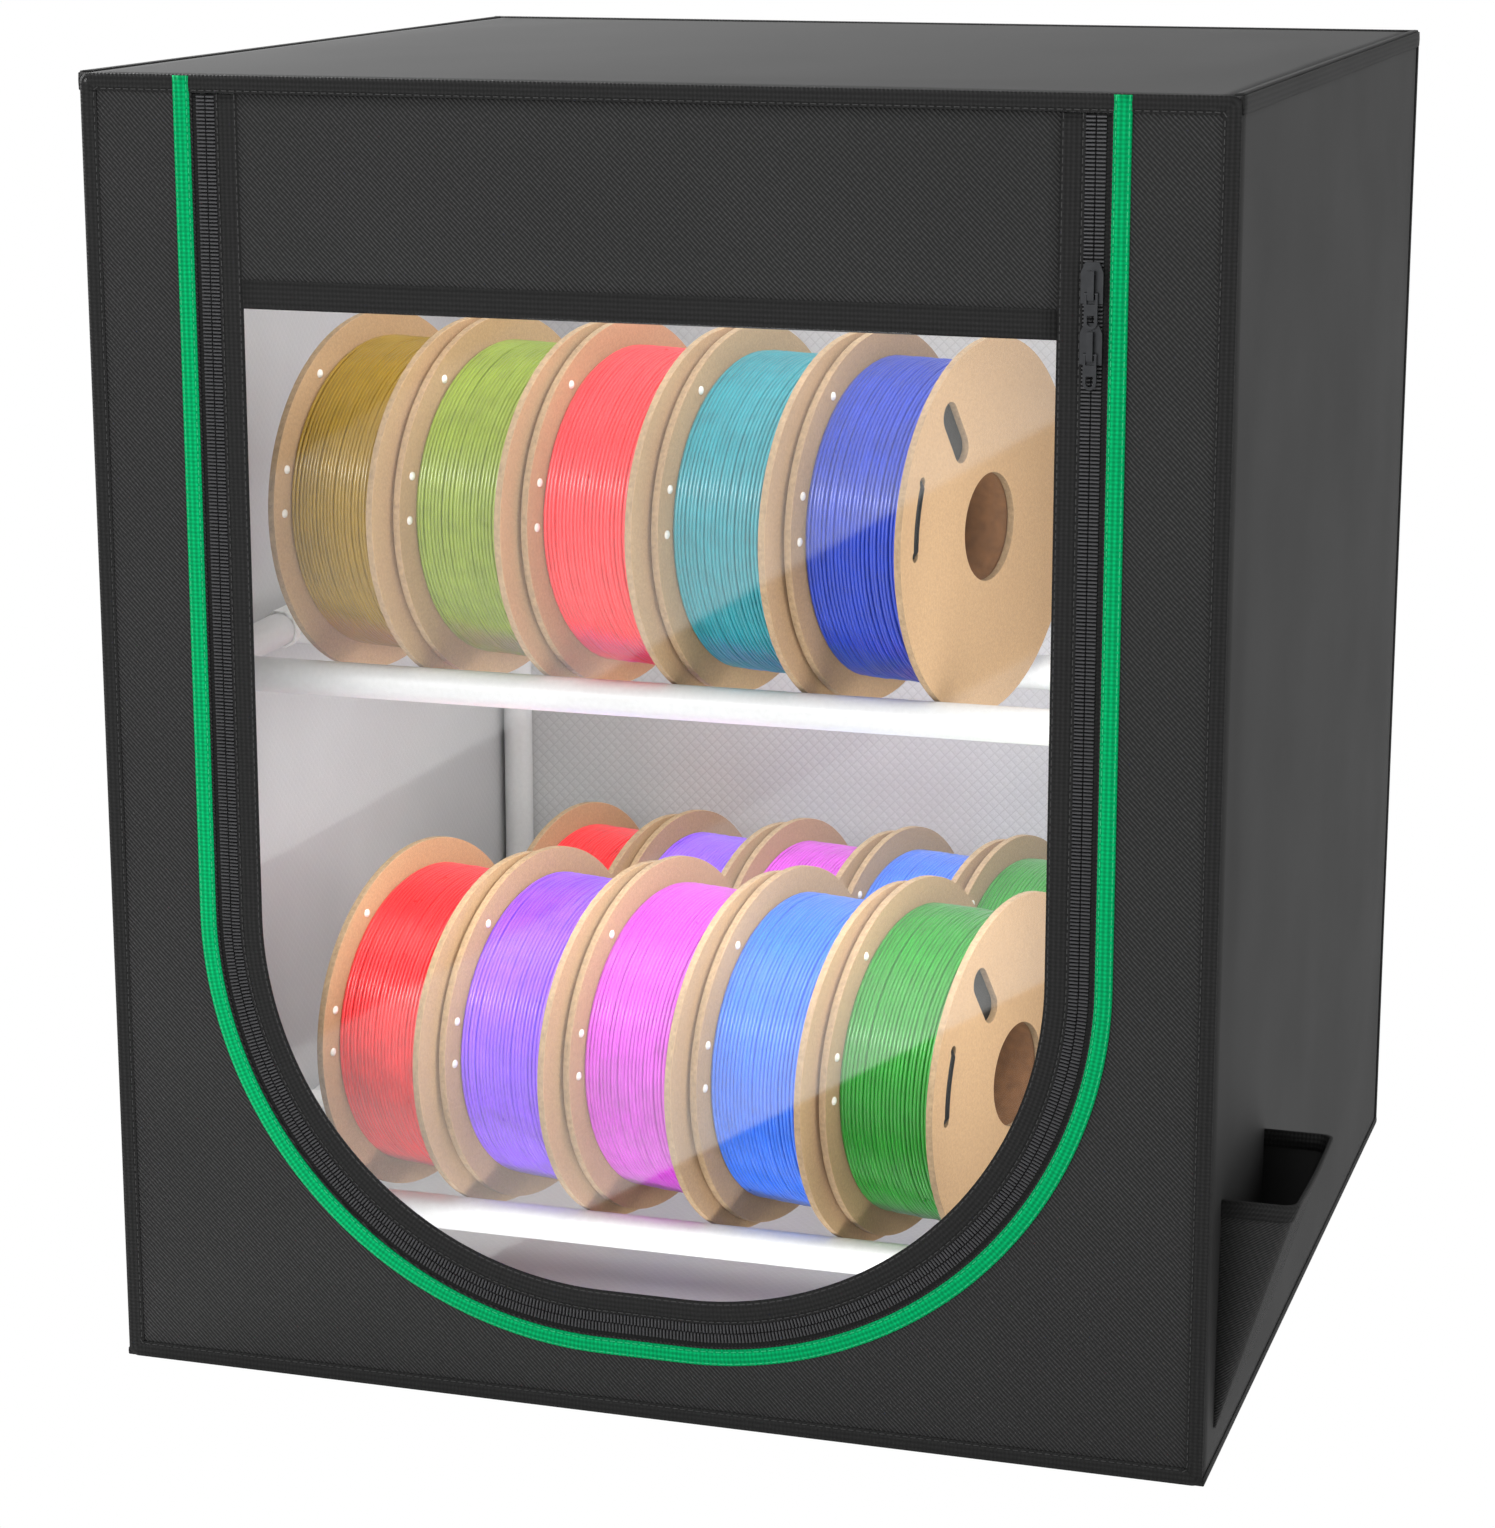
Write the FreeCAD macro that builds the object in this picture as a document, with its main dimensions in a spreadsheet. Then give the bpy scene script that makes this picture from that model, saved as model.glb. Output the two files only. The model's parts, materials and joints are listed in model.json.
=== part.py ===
import FreeCAD, Part
import Sketcher
import math
import os
from FreeCAD import Placement, Rotation, Vector

os.makedirs("parts", exist_ok=True)
doc = FreeCAD.newDocument("filament_dryer_box")
sheet = doc.addObject("Spreadsheet::Sheet", "dims")

# Driving dimensions in millimetres, angles in degrees
driving = {
    "width": 600,  # across the front, X
    "depth": 600,  # front to back, Y
    "height": 700,
    "cloth": 1.2,
    "binding_width": 9,
    "binding_thick": 1,
    "tube_radius": 9.5,
    "tube_inset": 13,  # tube axis to the outside of the cover
    "socket_radius": 11.3,
    "socket_length": 34,
    "socket_stop": 12,  # tube end to the middle of a corner fitting
    "socket_bore": 10.15,  # a ten-sided bore, measured to its corners
    "socket_reach": 10.9,  # a corner fitting's blind ends, past its middle
    "upper_tier": 371,
    "lower_tier": 70.4,
    "row_middle": 150,  # spool axis in front of or behind the middle
    "row_back": 168,  # axis of the row at the base, behind the middle
    "cradle_half": 65.5,  # cradle tube to the spool axis, along Y
    "cradle_drop": 92.7,  # cradle tube below the spool axis
    "door_inset": 23,  # middle of the door's corner arcs, along X
    "door_arc_height": 259,
    "webbing_half": 248,  # half widths of the nested U shapes
    "opening_half": 239,
    "chain_outer": 235.4,
    "split_outer": 230.9,
    "split_inner": 230.1,
    "chain_inner": 225.7,
    "window_half": 213,
    "door_top": 690.5,
    "window_top": 582,
    "valance_base": 597,
    "window_thick": 0.6,
    "chain_thick": 2.4,
    "slider_middle": 230.5,
    "slider_width": 11,
    "slider_length": 20,
    "slider_thick": 1.6,
    "slider_front": 302.5,  # front face of a slider plate, along -Y
    "slider_upper": 600.5,
    "slider_lower": 571.3,
    "bridge_width": 3.2,
    "bridge_window": 2.2,
    "bridge_bar": 1.1,
    "bridge_leg": 2,
    "bridge_length": 14,
    "pull_width": 6.6,
    "pull_thick": 1.4,
    "pull_reach": 17,
    "pull_eye_width": 4.2,
    "pocket_front": 273,  # front of the pocket, along -Y
    "pocket_length": 117,
    "pocket_base": 21,
    "pocket_height": 124,
    "pocket_reach": 40,
    "spool_radius": 100,
    "spool_width": 68,
    "spool_pitch": 72,
    "spool_first": -174,
    "lower_shift": 20,  # the lower front row stands further right
    "spool_turn": 13,  # spools stand askew across the tubes
    "flange_thick": 4,
    "winding_radius": 86,
    "reel_bore": 29,
}
for row, (alias, value) in enumerate(driving.items(), start=1):
    sheet.set(f"A{row}", alias)
    sheet.set(f"B{row}", str(value))
    sheet.setAlias(f"B{row}", alias)
doc.recompute()

nodes = []
turns = {"X": Rotation(Vector(0, 1, 0), 90), "Y": Rotation(Vector(1, 0, 0), -90), "Z": Rotation()}
sides = {"left": "-", "right": ""}
ends = {"front": "-", "back": ""}


def value(alias):
    return float(sheet.get(alias))


# Names in an expression are cells of the sheet
def cells(expression):
    text = str(expression)
    for alias in sorted(driving, key=len, reverse=True):
        text = text.replace(alias, f"@{list(driving).index(alias)}@")
    for index, alias in enumerate(driving):
        text = text.replace(f"@{index}@", f"dims.{alias}")
    return text


def bind(item, **expressions):
    for prop, expression in expressions.items():
        item.setExpression(prop, cells(expression))
    return item


def place(item, x=0, y=0, z=0, rotation=None):
    if rotation is not None:
        item.Placement = Placement(Vector(), rotation)
    for axis, expression in zip("xyz", (x, y, z)):
        item.setExpression(f"Placement.Base.{axis}", cells(expression))
    return item


def box(name, length, width, height, x=0, y=0, z=0):
    item = bind(doc.addObject("Part::Box", name), Length=length, Width=width, Height=height)
    return place(item, x, y, z)


def rod(name, axis, radius, length, x=0, y=0, z=0):
    item = bind(doc.addObject("Part::Cylinder", name), Radius=radius, Height=length)
    return place(item, x, y, z, turns[axis])


def prism(name, corners, axis, radius, length, x=0, y=0, z=0):
    item = bind(doc.addObject("Part::Prism", name), Circumradius=radius, Height=length)
    item.Polygon = corners
    return place(item, x, y, z, turns[axis])


def cut(name, base, tool):
    item = doc.addObject("Part::Cut", name)
    item.Base = base
    item.Tool = tool
    return item


def fuse(name, pieces):
    item = doc.addObject("Part::MultiFuse", name)
    item.Shapes = pieces
    return item


def group(name, pieces):
    item = doc.addObject("Part::Compound", name)
    item.Links = pieces
    return item


def node(item, label=None):
    item.Label = label or item.Name
    nodes.append(item)
    return item


# A plate in the front plane: straight sides and round lower corners, closed at the top
def u_plate(name, half, top, back, thick):
    body = doc.addObject("PartDesign::Body", name)
    plane = [item for item in body.Origin.OriginFeatures if item.Role == "XZ_Plane"][0]
    sketch = body.newObject("Sketcher::SketchObject", f"{name}_outline")
    sketch.AttachmentSupport = [(plane, "")]
    sketch.MapMode = "FlatFace"
    sketch.setExpression("AttachmentOffset.Base.z", cells(back))
    w, inset, arc, roof = (value(key) for key in (half, "door_inset", "door_arc_height", "height"))
    radius = w - inset
    corner_l = Part.Circle(Vector(-inset, arc, 0), Vector(0, 0, 1), radius)
    corner_r = Part.Circle(Vector(inset, arc, 0), Vector(0, 0, 1), radius)
    left = sketch.addGeometry(Part.LineSegment(Vector(-w, roof, 0), Vector(-w, arc, 0)))
    arc_l = sketch.addGeometry(Part.ArcOfCircle(corner_l, math.pi, 1.5 * math.pi))
    base_line = Part.LineSegment(Vector(-inset, arc - radius, 0), Vector(inset, arc - radius, 0))
    base = sketch.addGeometry(base_line)
    arc_r = sketch.addGeometry(Part.ArcOfCircle(corner_r, 1.5 * math.pi, 2 * math.pi))
    right = sketch.addGeometry(Part.LineSegment(Vector(w, arc, 0), Vector(w, roof, 0)))
    lid = sketch.addGeometry(Part.LineSegment(Vector(w, roof, 0), Vector(-w, roof, 0)))
    rules = Sketcher.Constraint
    for first, second in ((left, arc_l), (arc_l, base), (base, arc_r), (arc_r, right)):
        sketch.addConstraint(rules("Tangent", first, 2, second, 1))
    sketch.addConstraint(rules("Coincident", right, 2, lid, 1))
    sketch.addConstraint(rules("Coincident", lid, 2, left, 1))
    sketch.addConstraint(rules("Vertical", left))
    sketch.addConstraint(rules("Vertical", right))
    sketch.addConstraint(rules("Horizontal", base))
    sketch.addConstraint(rules("Horizontal", lid))
    sketch.addConstraint(rules("Symmetric", arc_l, 3, arc_r, 3, -2))
    sizes = (("inset", "DistanceX", arc_r, 3, inset, "door_inset"),
             ("arc", "DistanceY", arc_r, 3, arc, "door_arc_height"),
             ("half", "DistanceX", right, 2, w, half),
             ("top", "DistanceY", right, 2, roof, top))
    for label, kind, item, point, start, expression in sizes:
        index = sketch.addConstraint(rules(kind, -1, 1, item, point, start))
        sketch.renameConstraint(index, label)
        sketch.setExpression(f"Constraints.{label}", cells(expression))
    pad = body.newObject("PartDesign::Pad", f"{name}_pad")
    pad.Profile = sketch
    pad.setExpression("Length", cells(thick))
    return body


def u_ring(name, outer, inner, top, back, thick):
    whole = u_plate(f"{name}_outer", outer, top, back, thick)
    hole = u_plate(f"{name}_inner", inner, f"{top} + 1", f"{back} - 1", f"{thick} + 2")
    return cut(name, whole, hole)


# Tube frame: posts and rails end inside the sockets of the corner fittings
x_rail = "(width / 2 - tube_inset)"
y_rail = "(depth / 2 - tube_inset)"
post_length = "height - 2 * tube_inset - 2 * socket_stop"
for end, y_sign in ends.items():
    for side, x_sign in sides.items():
        node(rod(f"post_{end}_{side}", "Z", "tube_radius", post_length,
                 f"{x_sign}{x_rail}", f"{y_sign}{y_rail}", "tube_inset + socket_stop"))
heights = {"base": "tube_inset", "top": "height - tube_inset"}
for level, z in heights.items():
    rails = [rod(f"{level}_rail_{end}", "X", "tube_radius", "width - 2 * tube_inset - 2 * socket_stop",
                 f"-{x_rail} + socket_stop", f"{sign}{y_rail}", z) for end, sign in ends.items()]
    node(group(f"{level}_rails_width", rails))
    rails = [rod(f"{level}_rail_{side}", "Y", "tube_radius", "depth - 2 * tube_inset - 2 * socket_stop",
                 f"{sign}{x_rail}", f"-{y_rail} + socket_stop", z) for side, sign in sides.items()]
    node(group(f"{level}_rails_depth", rails))

# A three-way fitting: three faceted sockets cross at the corner
socket_sides = 10
socket_depth = "socket_length - socket_stop + 1"


def corner_fitting(name, x_sign, y_sign, level):
    middle = {"X": f"{x_sign}{x_rail}", "Y": f"{y_sign}{y_rail}", "Z": heights[level]}
    points_up = {"X": bool(x_sign), "Y": bool(y_sign), "Z": level == "base"}
    arms = []
    bores = []
    for axis in "XYZ":
        arm = dict(middle)
        bore = dict(middle)
        if points_up[axis]:
            arm[axis] = f"{middle[axis]} - socket_reach"
            bore[axis] = f"{middle[axis]} + socket_stop"
        else:
            arm[axis] = f"{middle[axis]} - socket_length"
            bore[axis] = f"{middle[axis]} - socket_length - 1"
        arms.append(prism(f"{name}_arm_{axis}", socket_sides, axis, "socket_radius",
                          "socket_length + socket_reach", *arm.values()))
        bores.append(prism(f"{name}_bore_{axis}", socket_sides, axis, "socket_bore", socket_depth,
                           *bore.values()))
    return cut(name, fuse(f"{name}_arms", arms), fuse(f"{name}_bores", bores))


for level in heights:
    node(group(f"{level}_corner_fittings", [
        corner_fitting(f"{level}_corner_{end}_{side}", sides[side], ends[end], level)
        for end in ends for side in sides]))


# A tee: a sleeve round one tube and a socket that takes the end of another
def tee(name, sleeve_axis, arm_axis, point, outward):
    centre = dict(zip("XYZ", point))
    sleeve = dict(centre)
    sleeve[sleeve_axis] = f"{centre[sleeve_axis]} - socket_length / 2"
    arm = dict(centre)
    arm[arm_axis] = centre[arm_axis] if outward else f"{centre[arm_axis]} - socket_length"
    solid = fuse(f"{name}_solid", [
        prism(f"{name}_sleeve", socket_sides, sleeve_axis, "socket_radius", "socket_length",
              *sleeve.values()),
        prism(f"{name}_arm", socket_sides, arm_axis, "socket_radius", "socket_length", *arm.values())])
    through = dict(sleeve)
    through[sleeve_axis] = f"{sleeve[sleeve_axis]} - 1"
    blind = dict(centre)
    blind[arm_axis] = f"{centre[arm_axis]} + socket_stop" if outward else f"{arm[arm_axis]} - 1"
    hollow = fuse(f"{name}_hollow", [
        prism(f"{name}_through", socket_sides, sleeve_axis, "socket_bore", "socket_length + 2",
              *through.values()),
        prism(f"{name}_blind", socket_sides, arm_axis, "socket_bore", socket_depth, *blind.values())])
    return cut(name, solid, hollow)


# Two tiers of side rails, on tees at the posts
for tier in ("upper", "lower"):
    z = f"{tier}_tier"
    node(group(f"{tier}_post_tees", [
        tee(f"{tier}_post_tee_{end}_{side}", "Z", "Y", (f"{sides[side]}{x_rail}", f"{ends[end]}{y_rail}", z),
            end == "front")
        for end in ends for side in sides]))
    node(group(f"{tier}_side_rails", [
        rod(f"{tier}_side_rail_{side}", "Y", "tube_radius", "depth - 2 * tube_inset - 2 * socket_stop",
            f"{sides[side]}{x_rail}", f"-{y_rail} + socket_stop", z) for side in sides]))

# Cradles: two tubes under each row, on tees at the rails of its level
levels = {"upper": ("upper_tier", ("-row_middle", "row_middle")), "lower": ("lower_tier", ("-row_middle",)),
          "base": ("tube_inset", ("row_back",))}
for level, (z, middles) in levels.items():
    places = [f"{middle} {shift} cradle_half" for middle in middles for shift in "-+"]
    node(group(f"{level}_cradle_tees", [
        tee(f"{level}_cradle_tee_{index}_{side}", "Y", "X", (f"{sides[side]}{x_rail}", y, z), side == "left")
        for index, y in enumerate(places) for side in sides]))
    node(group(f"{level}_cradle_tubes", [
        rod(f"{level}_cradle_tube_{index}", "X", "tube_radius", "width - 2 * tube_inset - 2 * socket_stop",
            f"-{x_rail} + socket_stop", y, z) for index, y in enumerate(places)]))

# Cover: sewn panels of coated cloth
node(box("roof_panel", "width", "depth", "cloth", "-width / 2", "-depth / 2", "height - cloth"))
node(box("floor_panel", "width", "depth", "cloth", "-width / 2", "-depth / 2", 0))
wall_height = "height - 2 * cloth"
node(box("left_panel", "cloth", "depth - 2 * cloth", wall_height, "-width / 2", "-depth / 2 + cloth",
         "cloth"))
node(box("right_panel", "cloth", "depth - 2 * cloth", wall_height, "width / 2 - cloth", "-depth / 2 + cloth",
         "cloth"))
node(box("back_panel", "width", "cloth", wall_height, "-width / 2", "depth / 2 - cloth", "cloth"))
front_sheet = box("front_sheet", "width", "cloth", wall_height, "-width / 2", "-depth / 2", "cloth")
door_hole = u_plate("door_hole", "opening_half", "door_top + 0.5", "depth / 2 - cloth - 1", "cloth + 2")
node(cut("front_surround", front_sheet, door_hole))

# Binding tape on the edges, and woven trim round the door
webbing = node(u_ring("door_webbing", "webbing_half", "opening_half", "height", "depth / 2", "binding_thick"))
edge = box("front_binding_edge", "width", "binding_thick", "height", "-width / 2",
           "-depth / 2 - binding_thick", 0)
inside = box("front_binding_inside", "width - 2 * binding_width", "binding_thick + 2",
             "height - 2 * binding_width", "-width / 2 + binding_width", "-depth / 2 - binding_thick - 1",
             "binding_width")
notches = [box(f"front_binding_notch_{side}", "webbing_half - opening_half", "binding_thick + 2",
               "binding_width + 2",
               "opening_half" if side == "right" else "-webbing_half", "-depth / 2 - binding_thick - 1",
               "height - binding_width - 1") for side in sides]
node(cut("front_binding", edge, fuse("front_binding_cutter", [inside, *notches])))
band_z = "height - binding_width"
node(group("roof_binding", [
    box("roof_binding_left", "binding_thick", "depth", "binding_width", "-width / 2 - binding_thick",
        "-depth / 2", band_z),
    box("roof_binding_right", "binding_thick", "depth", "binding_width", "width / 2", "-depth / 2", band_z),
    box("roof_binding_back", "width", "binding_thick", "binding_width", "-width / 2", "depth / 2", band_z)]))

# Zip: tape and chain on the surround, the other chain on the door
node(u_ring("zip_tape", "webbing_half", "chain_outer", "door_top", "depth / 2 - cloth - binding_thick",
            "binding_thick"))
chain_back = "depth / 2 - cloth - binding_thick"
node(u_ring("zip_chain_surround", "chain_outer", "split_outer", "door_top", chain_back, "chain_thick"))
node(u_ring("zip_chain_door", "split_inner", "chain_inner", "door_top", chain_back, "chain_thick"))

# Door: border tape, valance, hem band and clear window
door_back = "depth / 2 - cloth"
node(u_ring("door_border", "chain_inner", "window_half", "door_top", door_back, "cloth"))
node(box("door_valance", "2 * window_half", "cloth", "door_top - valance_base", "-window_half", "-depth / 2",
         "valance_base"))
node(box("door_hem_band", "2 * window_half", "cloth", "valance_base - window_top", "-window_half",
         "-depth / 2", "window_top"))
node(u_plate("door_window", "window_half", "window_top", door_back, "window_thick"))


# A slider: a plate with a tapered nose, and a bridge that holds the pull
def slider(name, bottom):
    x, front = "slider_middle", "-slider_front"
    nose = "slider_length / 4"
    plate = box(f"{name}_plate", "slider_width", "slider_thick", f"slider_length - {nose}",
                f"{x} - slider_width / 2", front, bottom)
    tip = doc.addObject("Part::Wedge", f"{name}_nose")
    bind(tip, Xmin=0, Xmax="slider_width", X2min="slider_width / 5", X2max="slider_width * 4 / 5",
         Ymin=0, Ymax=nose, Zmin=0, Zmax="slider_thick", Z2min=0, Z2max="slider_thick")
    place(tip, f"{x} - slider_width / 2", f"{front} + slider_thick", f"{bottom} + slider_length - {nose}",
          Rotation(Vector(1, 0, 0), 90))
    arch = box(f"{name}_arch", "bridge_width", "bridge_window + bridge_bar", "bridge_length",
               f"{x} - bridge_width / 2", f"{front} - bridge_window - bridge_bar", f"{bottom} + bridge_leg")
    gap = box(f"{name}_gap", "bridge_width + 2", "bridge_window", "bridge_length - 2 * bridge_leg",
              f"{x} - bridge_width / 2 - 1", f"{front} - bridge_window", f"{bottom} + 2 * bridge_leg")
    return fuse(name, [plate, tip, cut(f"{name}_bridge", arch, gap)])


# A pull: a round bar through the bridge, an eye below it and an oval grip with a slot
def pull(name, bottom):
    x = "slider_middle"
    pin = f"{bottom} + 2 * bridge_leg + 0.9"
    y = "-slider_front - bridge_window / 2 - pull_thick / 2"
    low = f"{pin} - pull_reach"
    grip = "pull_width / 2"
    blade = box(f"{name}_blade", "pull_width", "pull_thick", f"pull_reach - {grip}", f"{x} - {grip}", y,
                f"{low} + {grip}")
    tip = rod(f"{name}_tip", "Y", grip, "pull_thick", x, y, f"{low} + {grip}")
    eye = box(f"{name}_eye", "pull_eye_width", "pull_thick + 2", "bridge_leg + 4",
              f"{x} - pull_eye_width / 2", f"{y} - 1", f"{pin} - bridge_leg - 3")
    slot_low = rod(f"{name}_slot_low", "Y", f"{grip} * 0.55", "pull_thick + 2", x, f"{y} - 1",
                   f"{low} + {grip}")
    slot = box(f"{name}_slot", f"{grip} * 1.1", "pull_thick + 2", grip, f"{x} - {grip} * 0.55", f"{y} - 1",
               f"{low} + {grip}")
    bar = rod(f"{name}_bar", "X", "pull_thick / 2", "pull_width", f"{x} - {grip}", f"{y} + pull_thick / 2", pin)
    holes = fuse(f"{name}_holes", [eye, slot_low, slot])
    return fuse(name, [cut(f"{name}_blank", fuse(f"{name}_body", [blade, tip]), holes), bar])


for place_name in ("upper", "lower"):
    node(slider(f"zip_slider_{place_name}", f"slider_{place_name}"))
    node(pull(f"zip_pull_{place_name}", f"slider_{place_name}"))


# Side pocket: two gussets and a leaning front, sewn to the right wall, open at the top
def pocket_wedge(name, low, high, near, far, skin):
    taper = "(pocket_reach - cloth) / pocket_height"
    item = doc.addObject("Part::Wedge", name)
    bind(item, Xmin=f"0 - {skin}", X2min=f"0 - {skin}", Xmax=f"cloth + {taper} * ({low}) - {skin}",
         X2max=f"cloth + {taper} * ({high}) - {skin}", Ymin=low, Ymax=high, Zmin=near, Zmax=far, Z2min=near,
         Z2max=far)
    upright = Rotation(Vector(1, 0, 0), 90)
    return place(item, "width / 2", "pocket_length - pocket_front", "pocket_base", upright)


pocket_outside = pocket_wedge("pocket_outside", "0", "pocket_height", "0", "pocket_length", "0")
pocket_inside = pocket_wedge("pocket_inside", "4 * cloth", "pocket_height + 1", "cloth",
                             "pocket_length - cloth", "cloth")
node(cut("side_pocket", pocket_outside, pocket_inside))


# A spool: reel and winding in one, with many-sided rims so that the rows stay light
def spool(name, x, y, z):
    rims = 24
    half = "spool_width / 2"
    solid = fuse(f"{name}_solid", [
        prism(f"{name}_flange_a", rims, "Z", "spool_radius", "flange_thick", z=f"-{half}"),
        prism(f"{name}_winding", rims, "Z", "winding_radius", "spool_width - flange_thick",
              z=f"-{half} + flange_thick / 2"),
        prism(f"{name}_flange_b", rims, "Z", "spool_radius", "flange_thick", z=f"{half} - flange_thick")])
    bore = prism(f"{name}_bore", rims // 2, "Z", "reel_bore", "spool_width + 2", z=f"-{half} - 1")
    turn = Rotation(Vector(0, 0, 1), -value("spool_turn")) * turns["X"]
    return place(cut(name, solid, bore), x, y, z, turn)


rows = {"upper_front": ("spool_first", "-row_middle", "upper_tier"),
        "lower_front": ("spool_first + lower_shift", "-row_middle", "lower_tier"),
        "lower_back": ("spool_first", "row_back", "tube_inset")}
for row, (first, y, z) in rows.items():
    for index in range(5):
        node(spool(f"spool_{row}_{index + 1}", f"{first} + {index} * spool_pitch", y, f"{z} + cradle_drop"))

doc.recompute()
for item in doc.Objects:
    if "Invalid" in item.State or "Error" in item.State:
        raise RuntimeError(f"{item.Label}: {item.State}")
for item in nodes:
    shape = item.Shape
    if shape.isNull() or not shape.isValid():
        raise RuntimeError(f"{item.Label}: bad shape")
    shape.exportStep(f"parts/{item.Label}.step")
print(f"{len(nodes)} nodes written")
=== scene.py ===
import json
import math
import bmesh
import bpy
from mathutils import Matrix, Vector, noise


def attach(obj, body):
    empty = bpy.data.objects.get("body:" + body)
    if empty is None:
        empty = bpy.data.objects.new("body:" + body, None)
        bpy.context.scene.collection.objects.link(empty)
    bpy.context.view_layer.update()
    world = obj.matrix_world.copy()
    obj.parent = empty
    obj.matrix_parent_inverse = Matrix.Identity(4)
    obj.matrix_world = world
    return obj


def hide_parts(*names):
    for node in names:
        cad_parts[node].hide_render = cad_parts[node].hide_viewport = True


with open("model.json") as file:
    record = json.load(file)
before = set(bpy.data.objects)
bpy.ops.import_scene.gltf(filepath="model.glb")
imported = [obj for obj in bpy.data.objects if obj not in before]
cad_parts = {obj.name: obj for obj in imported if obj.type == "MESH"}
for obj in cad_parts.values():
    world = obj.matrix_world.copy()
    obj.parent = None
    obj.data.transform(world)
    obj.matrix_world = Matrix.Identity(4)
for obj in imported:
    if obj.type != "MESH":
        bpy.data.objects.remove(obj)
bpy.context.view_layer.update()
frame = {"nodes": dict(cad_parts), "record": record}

record = frame["record"]
xAxis, yAxis, zAxis = Vector((1, 0, 0)), Vector((0, 1, 0)), Vector((0, 0, 1))
print("frame loaded", len(frame["nodes"]), "nodes")


# node helpers
def addNode(tree, kind, **values):
    node = tree.nodes.new(kind)
    for key, value in values.items():
        setattr(node, key, value)
    return node


def link(tree, source, target):
    tree.links.new(source, target)


def mathNode(tree, operation, first, second=None):
    node = addNode(tree, "ShaderNodeMath", operation=operation)
    for socket, value in zip(node.inputs, (first, second)):
        if value is None:
            continue
        if isinstance(value, (int, float)):
            socket.default_value = value
        else:
            link(tree, value, socket)
    return node.outputs[0]


def scaled(tree, value, factor, shift):  # value times factor, plus shift
    return mathNode(tree, "ADD", mathNode(tree, "MULTIPLY", value, factor), shift)


def wave(tree, value, turns, height):
    swing = mathNode(tree, "SINE", mathNode(tree, "MULTIPLY", value, turns))
    return mathNode(tree, "MULTIPLY", swing, height)


def noiseValue(tree, vector, scale, detail=2.0):
    node = addNode(tree, "ShaderNodeTexNoise")
    node.inputs["Scale"].default_value = scale
    node.inputs["Detail"].default_value = detail
    link(tree, vector, node.inputs["Vector"])
    return node.outputs[0]


def splitVector(tree, vector):
    node = addNode(tree, "ShaderNodeSeparateXYZ")
    link(tree, vector, node.inputs[0])
    return node.outputs[0], node.outputs[1]


def ramp(tree, value, stops):
    node = addNode(tree, "ShaderNodeValToRGB")
    elements = node.color_ramp.elements
    while len(elements) < len(stops):
        elements.new(0.5)
    for element, (place, colour) in zip(elements, stops):
        element.position = place
        element.color = (*colour, 1)
    link(tree, value, node.inputs[0])
    return node.outputs[0]


def reliefOn(tree, shader, height, strength, distance):
    relief = addNode(tree, "ShaderNodeBump")
    relief.inputs["Strength"].default_value = strength
    relief.inputs["Distance"].default_value = distance
    link(tree, height, relief.inputs["Height"])
    link(tree, relief.outputs[0], shader.inputs["Normal"])


def linear(hexColour):
    parts = [int(hexColour[i:i + 2], 16) / 255 for i in (0, 2, 4)]
    return tuple(c / 12.92 if c <= 0.04045 else ((c + 0.055) / 1.055) ** 2.4 for c in parts)


def shade(colour, factor):
    return tuple(min(1, c * factor) for c in colour)


# a shader group for cloth: a place and a repeat size go in, a height and a second value come out
def patternGroup(name, sizeLabel, size, secondOutput):
    tree = bpy.data.node_groups.new(name, "ShaderNodeTree")
    tree.interface.new_socket("Vector", in_out="INPUT", socket_type="NodeSocketVector")
    tree.interface.new_socket(sizeLabel, in_out="INPUT", socket_type="NodeSocketFloat").default_value = size
    for label in ("Height", secondOutput):
        tree.interface.new_socket(label, in_out="OUTPUT", socket_type="NodeSocketFloat")
    return tree, addNode(tree, "NodeGroupInput"), addNode(tree, "NodeGroupOutput")


twill = {"drift": 130, "sway": 0.0014, "ridge": 0.42, "rib": 0.08, "ribPace": 0.62, "grain": 520}


def buildTwillGroup():
    tree, ins, outs = patternGroup("twillWeave", "Period", 0.002, "Thread")
    along, up = splitVector(tree, ins.outputs["Vector"])
    drift = noiseValue(tree, ins.outputs["Vector"], twill["drift"])
    sway = mathNode(tree, "MULTIPLY", mathNode(tree, "SUBTRACT", drift, 0.5), twill["sway"])
    diagonal = mathNode(tree, "ADD", mathNode(tree, "ADD", along, up), sway)
    across = mathNode(tree, "SUBTRACT", along, up)
    turns = mathNode(tree, "DIVIDE", 2 * math.pi, ins.outputs["Period"])
    ridge = wave(tree, diagonal, turns, twill["ridge"])
    rib = wave(tree, across, mathNode(tree, "MULTIPLY", turns, twill["ribPace"]), twill["rib"])
    height = mathNode(tree, "ADD", mathNode(tree, "ADD", ridge, rib), 0.5)
    link(tree, height, outs.inputs["Height"])
    grain = noiseValue(tree, ins.outputs["Vector"], twill["grain"])
    thread = mathNode(tree, "MULTIPLY", height, scaled(tree, grain, 0.9, 0.55))
    link(tree, thread, outs.inputs["Thread"])
    return tree


ribbed = {"rib": 0.20, "warp": 0.28, "warpPace": 0.8, "grain": 700}


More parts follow.
